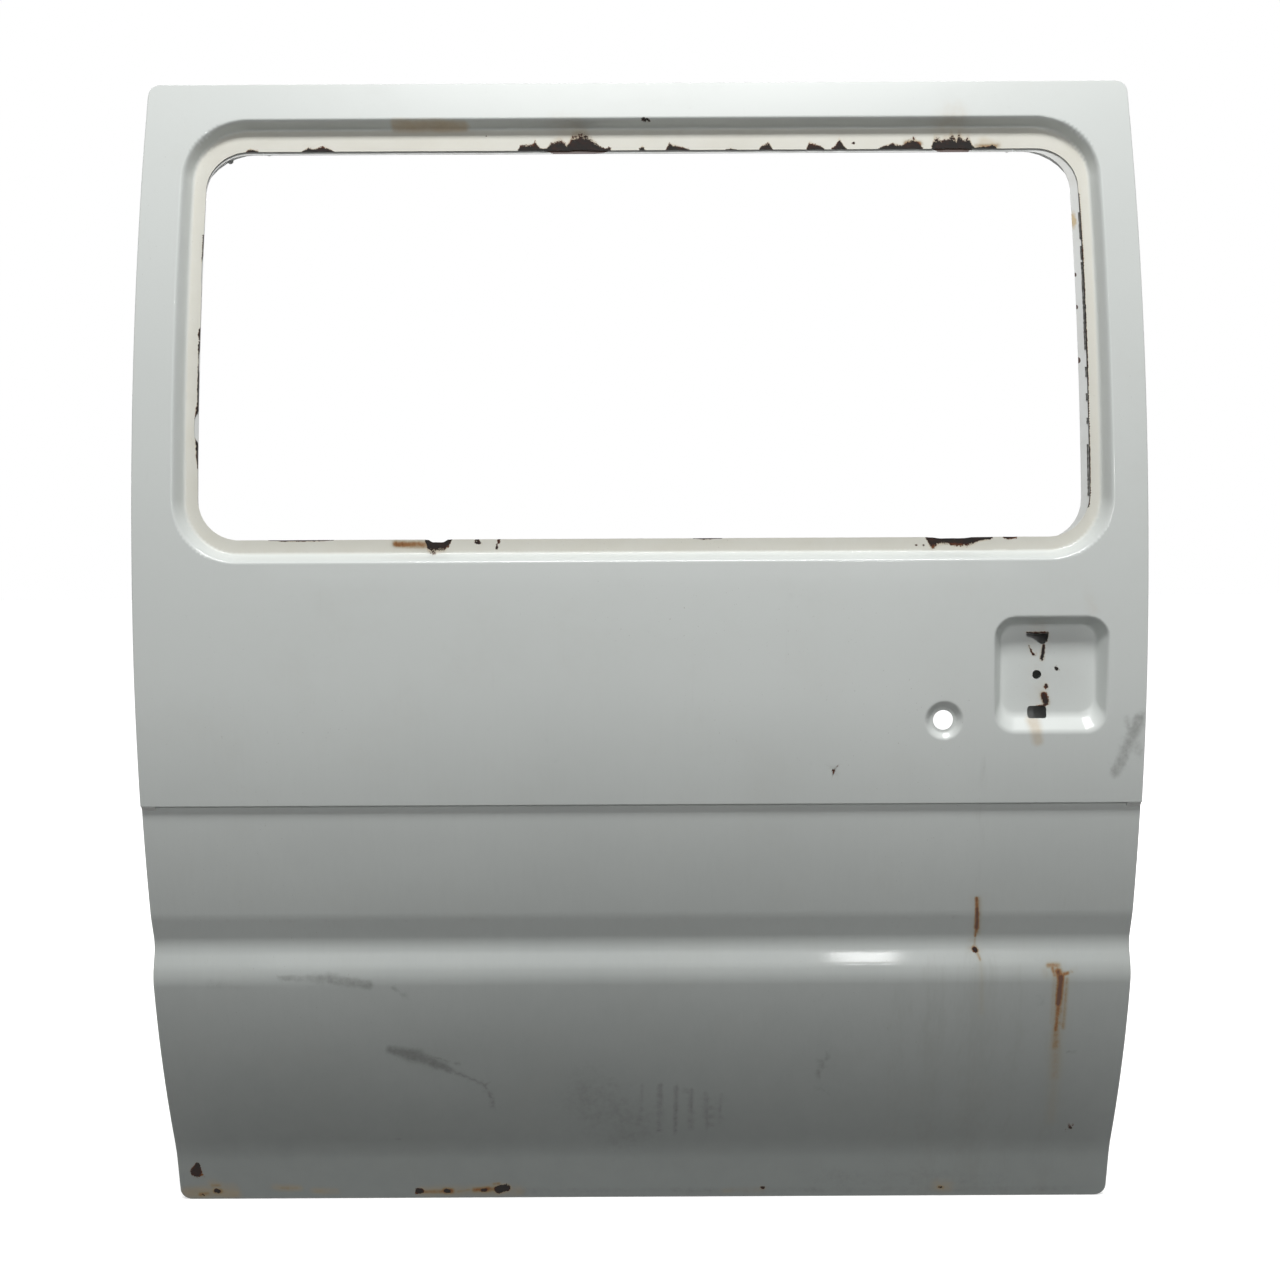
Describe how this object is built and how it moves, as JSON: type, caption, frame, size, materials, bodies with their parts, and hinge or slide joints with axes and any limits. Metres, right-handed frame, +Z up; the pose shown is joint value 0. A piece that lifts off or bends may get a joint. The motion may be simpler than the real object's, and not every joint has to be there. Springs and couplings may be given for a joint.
{
  "type": "van side door",
  "caption": "Stripped steel shell of a van's sliding side door with a large window opening, a handle recess and a hemmed edge, the inner frame welded behind.",
  "frame": {"origin": "the middle of the flat face of the rear hinge seat, on the door's inner side", "axes": "+X towards the van's front, +Y from the outer face into the van, +Z up"},
  "size_m": [1.02, 0.1631, 1.2],
  "materials": {
    "outer_paint": "weathered gloss",
    "inner_paint": "satin",
    "primer": "matt primer",
    "mastic": "matt",
    "plated_steel": "yellow zinc, dull",
    "rubber": "matt"
  },
  "bodies": {
    "root": {"outer_skin": "outer_paint", "inner_front_pillar": "inner_paint", "inner_rear_pillar": "inner_paint", "inner_header": "inner_paint", "inner_waist_rail": "inner_paint", "inner_upper_panel": "inner_paint", "inner_lower_panel": "inner_paint", "inner_sill_rail": "inner_paint", "belt_bar": "primer", "upper_bar": "primer", "lower_bar": "primer", "belt_mastic": "mastic", "upper_mastic": "mastic", "lower_mastic": "mastic", "handle_backplate": "primer", "latch_backplate": "primer", "hinge_backplate": "primer", "upper_arm_backplate": "primer", "lower_arm_backplate": "primer", "latch_nuts": "plated_steel", "hinge_nuts": "plated_steel", "upper_arm_nuts": "plated_steel", "lower_arm_nuts": "plated_steel", "blanking_plugs": "rubber"}
  },
  "joints": []
}
